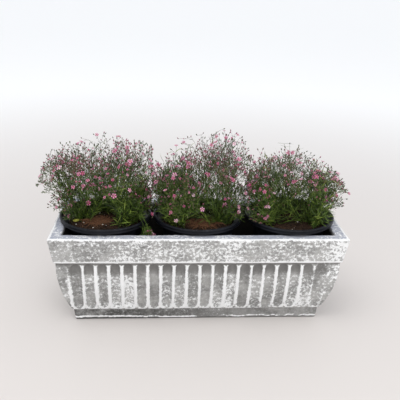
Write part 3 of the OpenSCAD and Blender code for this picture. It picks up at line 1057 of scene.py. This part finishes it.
def forked(at, heading, step, thick, levels, pull, dice):
    """Twigs that fork in two at every joint: their paths, thickness, joints and tips."""
    paths, radii, forks = [], [], []
    side_way = square_to(heading, dice)
    for level in range(1, levels + 1):
        m = len(at)
        angle = np.radians(dice.uniform(13, 26, (2, m)) * (1, 1.15)[level > 3])
        side_way = unit(np.cross(heading, side_way) + 0.5 * dice.normal(0, 1, heading.shape))
        axis = unit(np.cross(heading, side_way))
        one = swung(heading, axis, angle[0])
        two = swung(heading, axis, -angle[1])
        heading = unit(np.concatenate([one, two]) + pull)
        begin = np.concatenate([at, at])
        side_way = np.concatenate([side_way, side_way])
        step = np.concatenate([step, step]) * dice.uniform(0.66, 0.98, 2 * m)
        keep = dice.uniform(0, 1, 2 * m) > (0.0, 0, 0, 0.04, 0.08, 0.14, 0.16)[level]
        heading, begin, side_way, step = heading[keep], begin[keep], side_way[keep], step[keep]
        thin = thick * 0.86**level
        ends = begin + heading * step[:, None]
        middle = (begin + ends) / 2 + side_way * step[:, None] * dice.uniform(-0.05, 0.05, (len(step), 1))
        paths.append(np.stack([begin, middle, ends], 1))
        radii.append(np.tile([thin, thin * 0.95, thin * 0.88], (len(step), 1)))
        forks.append((ends, heading, np.full(len(ends), level)))
        at = ends
    return paths, radii, forks, (at, heading)


def grow(side, foot, dice):
    """One plug's stems: their paths and thickness, its forks, and its tips."""
    n = MAIN_STEMS[side]
    out = math.atan2(foot[1], foot[0])
    turn = out + dice.uniform(-2.3, 2.3, n)
    far = 62 * np.sqrt(dice.uniform(0.02, 1, n))
    goal_x = foot[0] + far * np.cos(turn) * (1.25 if side != "middle" else 1.0)
    goal_y = foot[1] + far * np.sin(turn)
    goal_x = np.clip(goal_x, -98 if side == "left" else -76, 92 if side == "right" else 76)
    goal_y = np.clip(goal_y, -80, 78)
    tall = mound_height(side, goal_x, goal_y) * dice.uniform(0.74, 1.0, n)
    # Some stems lean out low, over the lip, and close the gap to the next pot's plants
    low_spray = dice.uniform(0, 1, n) < LOW_SPRAYS
    leaning = np.where(abs(foot[0]) > 10, np.sign(foot[0]), dice.choice((-1, 1), n))
    goal_x = np.where(low_spray, leaning * dice.uniform(64, 84, n), goal_x)
    goal_y = np.where(low_spray, dice.uniform(-55, 72, n), goal_y)
    goal_z = np.where(low_spray, dice.uniform(20, 92, n), tall)
    goal = np.column_stack([goal_x, goal_y, goal_z])
    start = np.column_stack([
        foot[0] + dice.normal(0, 3.5, n), foot[1] + dice.normal(0, 3.5, n), np.full(n, -1.5),
    ])
    length = np.linalg.norm(goal - start, axis=1)
    way = unit(goal - start)
    low_way = unit(way + np.column_stack([way[:, :2] * 0.15, np.full(n, 0.30)]))
    first = length * 0.33
    thick = np.full(n, STEM_RADIUS)
    ends = start + low_way * first[:, None]
    middle = (start + ends) / 2 + (low_way - way) * first[:, None] * 0.15
    paths, radii, forks, tips = forked(ends, way, length * 0.66 / 3.5, 0.50, FORKS, (0, 0, 0.05), dice)
    paths.append(np.stack([start, middle, ends], 1))
    radii.append(np.column_stack([thick * 1.25, thick, thick * 0.85]))
    forks.append((ends, way, np.full(n, 0)))
    return np.concatenate(paths), np.concatenate(radii), forks, tips


def trailing(foot, over_lip, dice):
    """Stems that have slipped over the lip and hang in the gap between two pots."""
    n = len(over_lip)
    start = np.tile([foot[0], foot[1], -1.0], (n, 1)) + dice.normal(0, 1.5, (n, 3)) * (1, 1, 0)
    crest = start + (over_lip - start) * 0.6
    crest[:, 2] = 24
    paths, radii, forks, tips = forked(
        over_lip, np.tile([0.25, -0.25, -0.9], (n, 1)), np.full(n, 8.5), 0.48, 4, (0, 0, -0.12), dice)
    paths.append(np.stack([start, (start + crest) / 2 + (0, 0, 5), crest], 1))
    paths.append(np.stack([crest, (crest + over_lip) / 2 + (0, 0, 3), over_lip], 1))
    radii += [np.tile([0.6, 0.6, 0.55], (n, 1)), np.tile([0.55, 0.55, 0.5], (n, 1))]
    return np.concatenate(paths), np.concatenate(radii), forks, tips


def blades(start, way, lift, length, width, dice):
    """Curved narrow leaves: each path, its half widths and its upper side."""
    n = len(start)
    share = np.array([0, 0.22, 0.5, 0.78, 1.0])
    over = unit(lift)
    curve = dice.uniform(-0.35, 0.40, n)[:, None] * share**2
    bent = way[:, None] * share[:, None] + over[:, None] * curve[:, :, None]
    paths = start[:, None] + length[:, None, None] * bent
    radii = width[:, None] / 2 * np.array([0.45, 0.95, 1.0, 0.72, 0.10])
    return paths, radii, over


def thicket(side, foot, dice):
    """The plug's leafy shoots: their paths, and their leaves."""
    n = LEAFY_SHOOTS
    out = math.atan2(foot[1], foot[0])
    turn = out + dice.uniform(-2.7, 2.7, n)
    rise = np.radians(dice.uniform(8, 84, n))
    way = np.column_stack([np.cos(turn) * np.cos(rise), np.sin(turn) * np.cos(rise), np.sin(rise)])
    length = dice.uniform(34, 66, n) + 54 * np.sin(rise) ** 2 * dice.uniform(0, 1, n)
    start = np.column_stack([
        foot[0] + dice.normal(0, 6, n), foot[1] + dice.normal(0, 6, n), np.full(n, -1.0),
    ])
    share = np.linspace(0, 1, 9)
    bow = (0, 0, 1) * (dice.uniform(0.05, 0.5, (n, 1, 1)) * (share**2)[:, None])
    flat_reach = np.hypot(*(start[:, :2] + way[:, :2] * length[:, None]).T)
    length *= np.clip(np.where(way[:, 1] < -0.2, 58, 66) / flat_reach, 0.4, 1)
    tip = start[:, :2] + way[:, :2] * length[:, None]
    gap = np.linalg.norm(tip[:, None] - np.array(BARE_SOIL[side], float), axis=2)
    grows = gap.min(1) > BARE_RADIUS
    start, way, length, bow, n = start[grows], way[grows], length[grows], bow[grows], grows.sum()
    shoots = start[:, None] + length[:, None, None] * (way[:, None] * share[:, None] + bow)
    radii = np.tile(np.linspace(0.55, 0.28, 9), (n, 1))
    nodes = shoots[:, 1:].reshape(-1, 3)
    heading = unit(np.gradient(shoots, axis=1))[:, 1:].reshape(-1, 3)
    spin = square_to(heading, dice)
    starts, ways, lifts = [], [], []
    for sign in (1, -1):
        leaf_way, lift = leaving(heading, sign * spin, 30, 85, dice)
        starts.append(nodes)
        ways.append(leaf_way)
        lifts.append(lift)
    starts, ways, lifts = np.concatenate(starts), np.concatenate(ways), np.concatenate(lifts)
    sizes = dice.uniform(*SHOOT_LEAF_LENGTHS, len(starts))
    wide = dice.uniform(*SHOOT_LEAF_WIDTHS, len(starts))
    return shoots, radii, blades(starts, ways, lifts, sizes, wide, dice)


def foliage_finish():
    material, tree, shader = start_finish("leaf_green", 0.5, 0.35)
    tone = mark_of(tree, "tone")
    cloudy = plus(tree, tone, between(tree, grain(tree, 14, 3), 0.3, 0.7, -0.15, 0.15))
    darker = between(tree, cloudy, 0.0, 0.55)
    colour = blend_colour(tree, darker, (0.016, 0.032, 0.006), (0.080, 0.135, 0.018))
    colour = blend_colour(tree, between(tree, cloudy, 0.55, 1.0), colour, (0.26, 0.35, 0.06))
    reddish = between(tree, grain(tree, 45, 2.0, shift=4.0), 0.44, 0.62)
    stem_tone = blend_colour(tree, reddish, (0.085, 0.095, 0.068), (0.175, 0.090, 0.088))
    colour = blend_colour(tree, mark_of(tree, "bronze"), colour, stem_tone)
    colour = blend_colour(tree, mark_of(tree, "pink_tip"), colour, (0.42, 0.085, 0.19))
    shader.inputs["Subsurface Weight"].default_value = 0.12
    shader.inputs["Subsurface Radius"].default_value = (0.0006, 0.0012, 0.0003)
    colour_and_grain(tree, shader, colour, grain(tree, 1.1, 3.0, 0.6, (1, 1, 0.4)), 0.1, 0.5)
    return material


def petal_finish():
    material, tree, shader = start_finish("pink_petal", 0.6, 0.3)
    tone = mark_of(tree, "tone")
    colour = blend_colour(tree, between(tree, tone, 0.0, 0.5), (0.74, 0.50, 0.61), (0.60, 0.17, 0.33))
    colour = blend_colour(tree, between(tree, tone, 0.5, 1.0), colour, (0.44, 0.028, 0.155))
    rim = between(tree, mark_of(tree, "rim"), 0.55, 1.0, 0.0, 0.45)
    colour = blend_colour(tree, rim, colour, (0.80, 0.55, 0.67))
    veins = between(tree, grain(tree, 1.0, 2.0, 0.5), 0.52, 0.62, 0.0, 0.25)
    colour = blend_colour(tree, veins, colour, (0.48, 0.03, 0.18))
    colour = blend_colour(tree, mark_of(tree, "heart"), colour, (0.62, 0.58, 0.20))
    shader.inputs["Subsurface Weight"].default_value = 0.15
    shader.inputs["Subsurface Radius"].default_value = (0.001, 0.0004, 0.0006)
    colour_and_grain(tree, shader, colour, grain(tree, 0.8, 2.0, shift=2.0), 0.08, 0.4)
    return material


# One petal, cut as a flat wedge with a notched end, and the flower's small heart
PETAL = np.array([(0.06, 0.05), (0.35, 0.13), (0.62, 0.26), (0.86, 0.33), (1.0, 0.24), (0.96, 0.0)])
PETAL_RING = np.concatenate([PETAL, (PETAL[:5] * (1, -1))[::-1]])
PETAL_MIDDLE = (0.55, 0.0)


def one_flower():
    """Points, triangles, distance out along the petal, and the heart's mark, of a unit flower."""
    points, faces, rims, heart = [], [], [], []
    k = len(PETAL_RING)
    for p in range(5):
        turn = 2 * math.pi * p / 5
        c, s = math.cos(turn), math.sin(turn)
        flat = np.vstack([PETAL_RING, PETAL_MIDDLE])
        out = np.hypot(flat[:, 0], flat[:, 1])
        xy = np.column_stack([flat[:, 0] * c - flat[:, 1] * s, flat[:, 0] * s + flat[:, 1] * c])
        dish = 0.34 * out - 0.26 * out**3 - 0.05 * np.cos(flat[:, 1] * 9)
        first = len(points) * (k + 1)
        for half in (0.022, -0.022):
            points.append(np.column_stack([xy, dish + half]))
            rims.append(out)
            heart.append(np.zeros(k + 1))
        i = np.arange(k)
        j = (i + 1) % k
        low = first + k + 1
        faces.append(np.stack([first + k + 0 * i, first + j, first + i], 1))
        faces.append(np.stack([low + k + 0 * i, low + i, low + j], 1))
        faces.append(np.stack([first + i, first + j, low + j], 1))
        faces.append(np.stack([first + i, low + j, low + i], 1))
    base = len(points) * (k + 1)
    points.append(BLOCK * (0.16, 0.16, 0.20) + (0, 0, 0.04))
    faces.append(BLOCK_FACES + base)
    rims.append(np.zeros(len(BLOCK)))
    heart.append(np.ones(len(BLOCK)))
    return np.concatenate(points), np.concatenate(faces), np.concatenate(rims), np.concatenate(heart)


FLOWER = one_flower()


def flowers(tips, ways, radius, openness, tone, dice):
    """A flower on each tip: open ones lie flat, half open ones are cups."""
    shape, faces, rims, heart = FLOWER
    n = len(tips)
    across = square_to(ways, dice)
    over = np.cross(ways, across)
    reach = np.hypot(shape[:, 0], shape[:, 1])
    wide = shape[None, :, :2] * (0.35 + 0.65 * openness)[:, None, None]
    high = shape[None, :, 2] + (1 - openness)[:, None] * reach[None] * 0.9
    points = wide[:, :, :1] * across[:, None] + wide[:, :, 1:] * over[:, None]
    points = points + high[:, :, None] * ways[:, None]
    points = tips[:, None] + points * radius[:, None, None]
    all_faces = faces[None] + len(shape) * np.arange(n)[:, None, None]
    marks = {
        "tone": np.repeat(tone, len(shape)),
        "rim": np.tile(rims, n),
        "heart": np.tile(heart, n),
    }
    return points.reshape(-1, 3), all_faces.reshape(-1, 3), marks


# Stems, shoots, leaves, small leaves and buds: the points on one path, and the range of its tone
PER_PATH = (9, 36, 20, 15, 20)
TONES = ((0.2, 0.6), (0.2, 0.6), (0.0, 0.95), (0.1, 0.7), (0.1, 0.5))
BUDS = 4
# Share of the tips in flower low down, how much more at the top, and over the lip; share opening
FLOWERS_LOW = 0.075
FLOWERS_MORE = 0.085
FLOWERS_TRAILING = 0.35
OPENING = 0.17
leaf_green = foliage_finish()
pink_petal = petal_finish()
for side_number, pot_side in enumerate(SIDES):
    x, y, base, lip, tall = pot_place(pot_side)
    soil_top = SOIL_TOP[pot_side]
    pot_axis = np.array([x, y, 0])
    for plug_number, (plug, bearing) in enumerate(PLUGS[pot_side].items()):
        dice = np.random.default_rng(100 + 10 * side_number + plug_number)
        foot = FOOT_OUT * np.array([math.cos(math.radians(bearing)), math.sin(math.radians(bearing))])
        stems, stem_radii, forks, (tips, tip_ways) = grow(pot_side, foot, dice)
        shoots, shoot_radii, (leaves, leaf_radii, leaf_over) = thicket(pot_side, foot, dice)
        # Small leaves in pairs at the lower forks of the stems
        starts, ways, lifts, sizes = [], [], [], []
        for ends, heading, level in forks[:FORKS]:
            spin = square_to(heading, dice)
            for sign in (1, -1):
                leaf_way, lift = leaving(heading, sign * spin, 35, 70, dice)
                starts.append(ends)
                ways.append(leaf_way)
                lifts.append(lift)
                sizes.append(dice.uniform(0.7, 1.2, len(ends)) * (15 - 2.2 * level))
        starts, ways, lifts, sizes = (np.concatenate(v) for v in (starts, ways, lifts, sizes))
        small, small_radii, small_over = blades(starts, ways, lifts, sizes, 0.72 + 0.06 * sizes, dice)
        lifted = np.array([0, 0, soil_top])
        stems, tips, shoots, leaves, small = (
            kept_in(grown + lifted, pot_side, soil_top) for grown in (stems, tips, shoots, leaves, small)
        )
        if (pot_side, plug) == ("left", "east"):
            more, more_radii, joints, (more_tips, more_ways) = trailing(foot, OVER_LIP, dice)
            stems = np.concatenate([stems, more + lifted])
            stem_radii = np.concatenate([stem_radii, more_radii])
            tips = np.concatenate([tips, more_tips + lifted])
            tip_ways = np.concatenate([tip_ways, more_ways])
            at = np.concatenate([j[0] for j in joints])
            leaf_way = unit(dice.normal(0, 1, at.shape) + (0, 0, 0.4))
            extra, extra_radii, extra_over = blades(
                at + lifted, leaf_way, square_to(leaf_way, dice), dice.uniform(4, 8, len(at)),
                np.full(len(at), 1.3), dice)
            small = np.concatenate([small, extra])
            small_radii = np.concatenate([small_radii, extra_radii])
            small_over = np.concatenate([small_over, extra_over])
        # Most tips are buds; some are open or opening flowers
        kind = dice.uniform(0, 1, len(tips))
        low_down = tips[:, 2] < soil_top + 45
        chance = FLOWERS_LOW + FLOWERS_MORE * np.clip((tips[:, 2] - soil_top - 40) / 60, 0, 1)
        in_flower = kind < chance
        in_flower |= (tips[:, 2] < soil_top + 4) & (kind < FLOWERS_TRAILING)
        opening = (kind > chance) & (kind < chance + OPENING)
        bud = ~in_flower
        bud_size = dice.uniform(0.85, 1.25, bud.sum())
        bud_way = tip_ways[bud] * bud_size[:, None]
        bud_paths = tips[bud][:, None] + bud_way[:, None] * np.array([-0.2, 0.5, 1.9, 3.2])[:, None]
        bud_radii = bud_size[:, None] * np.array([0.28, 0.75, 0.80, 0.18])
        parts = [
            tubes(stems, stem_radii, 3), tubes(shoots, shoot_radii, 4),
            tubes(leaves, leaf_radii, 4, 0.22, leaf_over), tubes(small, small_radii, 3, 0.3, small_over),
            tubes(bud_paths, bud_radii, 5),
        ]
        counts = [len(p[0]) for p in parts]
        first = np.cumsum([0] + counts[:-1])
        points = np.concatenate([p[0] for p in parts]) + pot_axis
        faces = np.concatenate([p[1] + f for p, f in zip(parts, first)])
        tone = np.concatenate([
            np.repeat(dice.uniform(lo, hi, c // k), k)
            for (lo, hi), c, k in zip(TONES, counts, PER_PATH)
        ])
        high_up = np.clip((points[:, 2] - soil_top - 65) / 70, 0, 1)
        is_bud = np.concatenate([np.full(c, float(i == BUDS)) for i, c in enumerate(counts)])
        is_thin = np.concatenate([np.full(c, float(i in (0, 3))) for i, c in enumerate(counts)])
        bronze = np.clip((0.15 + 0.6 * is_thin) * high_up + 0.5 * is_bud, 0, 1)
        pink = np.zeros(len(points))
        showing = np.where(opening[bud], dice.uniform(0.5, 1.0, bud.sum()), 0)
        blush = showing[:, None, None] * np.array([0, 0.2, 0.8, 1.0])[:, None] * np.ones(5)
        pink[first[BUDS]:] = blush.ravel()
        foliage = build_piece(
            f"{pot_side}_{plug}_foliage", points * MM, faces, leaf_green,
            {"tone": tone, "bronze": bronze, "pink_tip": pink},
        )
        n = int(in_flower.sum())
        openness = np.where(low_down[in_flower], dice.uniform(0.7, 1.0, n), dice.uniform(0.25, 1.0, n))
        radius = dice.uniform(*FLOWER_RADII, n) * (0.72 + 0.28 * openness)
        colour_tone = np.clip(dice.beta(1.8, 1.3, n) + 0.25 * (openness < 0.6), 0, 1)
        facing = unit(tip_ways[in_flower] + dice.normal(0, 0.35, (n, 3)) + (0, -0.15, 0.15))
        petals, petal_faces, petal_marks = flowers(
            tips[in_flower], facing, radius, openness, colour_tone, dice)
        blooms = build_piece(
            f"{pot_side}_{plug}_flowers", (petals + pot_axis) * MM, petal_faces, pink_petal, petal_marks,
        )
        for piece in (foliage, blooms):
            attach(piece, pot_side + "_pot")
            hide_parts(f"{pot_side}_plant_{plug}")

low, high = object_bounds()
sizes = {"cad": [list(v) for v in CAD_BOX], "visual": [list(low), list(high)]}
